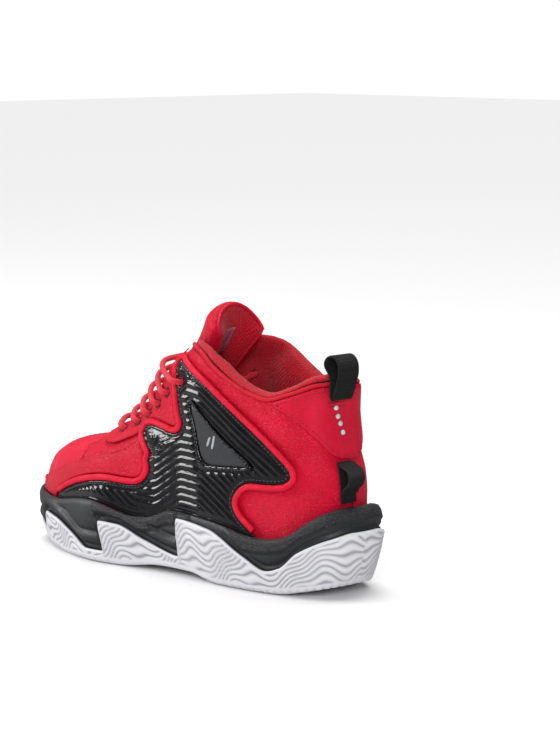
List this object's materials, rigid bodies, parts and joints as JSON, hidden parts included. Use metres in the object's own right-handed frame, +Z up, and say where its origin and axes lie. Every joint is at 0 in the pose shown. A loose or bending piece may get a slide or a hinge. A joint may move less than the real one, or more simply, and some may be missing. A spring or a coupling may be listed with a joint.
{
  "type": "basketball high top shoe",
  "caption": "Left high-top basketball shoe with a padded collar and tongue, ribbed side panels, laced throat, heel pull loop and cupped two-part sole.",
  "frame": {"origin": "bottom centre of the bounding box, on the ground plane", "axes": "+X towards the heel, -X towards the toe, -Y towards the lateral side, +Z up"},
  "size_m": [0.3099, 0.1092, 0.1833],
  "materials": {
    "white_rubber": "matte",
    "charcoal_foam": "matte",
    "grey_plastic": "matte",
    "fibre_board": "matte",
    "cream_foam": "matte",
    "red_leather": "satin",
    "red_mesh": "matte",
    "black_patent": "gloss",
    "charcoal_plastic": "matte",
    "mint_reflector": "satin",
    "black_webbing": "matte",
    "black_strap": "matte",
    "pink_label": "matte",
    "red_lace": "matte",
    "red_plastic": "satin"
  },
  "bodies": {
    "shoe": {"outsole": "white_rubber", "midsole": "charcoal_foam", "shank_plate": "grey_plastic", "sole_board": "fibre_board", "sockliner": "cream_foam", "vamp_toe_box": "red_leather", "vamp_lining": "red_mesh", "toe_puff": "grey_plastic", "quarter_lateral": "red_leather", "quarter_medial": "red_leather", "forefoot_overlay_lateral": "red_leather", "forefoot_overlay_medial": "red_leather", "eyestay_lateral": "red_leather", "eyestay_medial": "red_leather", "side_panel_lateral": "black_patent", "side_panel_medial": "black_patent", "piping_lateral": "red_leather", "piping_medial": "red_leather", "badge_frame": "black_patent", "badge": "charcoal_plastic", "heel_counter": "grey_plastic", "heel_tab_panel": "red_leather", "heel_dot_1": "mint_reflector", "heel_dot_2": "mint_reflector", "heel_dot_3": "mint_reflector", "heel_dot_4": "mint_reflector", "heel_strap": "black_webbing", "heel_strap_loop": "black_strap", "ankle_lining": "red_mesh", "collar_foam": "cream_foam", "collar_binding": "red_mesh", "lace": "red_lace", "aglet_1": "red_plastic", "aglet_2": "red_plastic"},
    "tongue": {"tongue_shell": "red_leather", "tongue_foam": "cream_foam", "tongue_lining": "red_mesh", "tongue_label": "pink_label"},
    "loop": {"pull_loop": "black_webbing"}
  },
  "joints": [
    {"name": "tongue_hinge", "type": "hinge", "parent": "shoe", "child": "tongue", "pos_m": [-0.0864, 0.0047, 0.0703], "axis": [0, 1, 0], "range_deg": [0, 7]},
    {"name": "pull_loop_hinge", "type": "hinge", "parent": "shoe", "child": "loop", "pos_m": [0.13628, -0.00573, 0.12407], "axis": [0, 1, 0], "range_deg": [0, 80]}
  ]
}
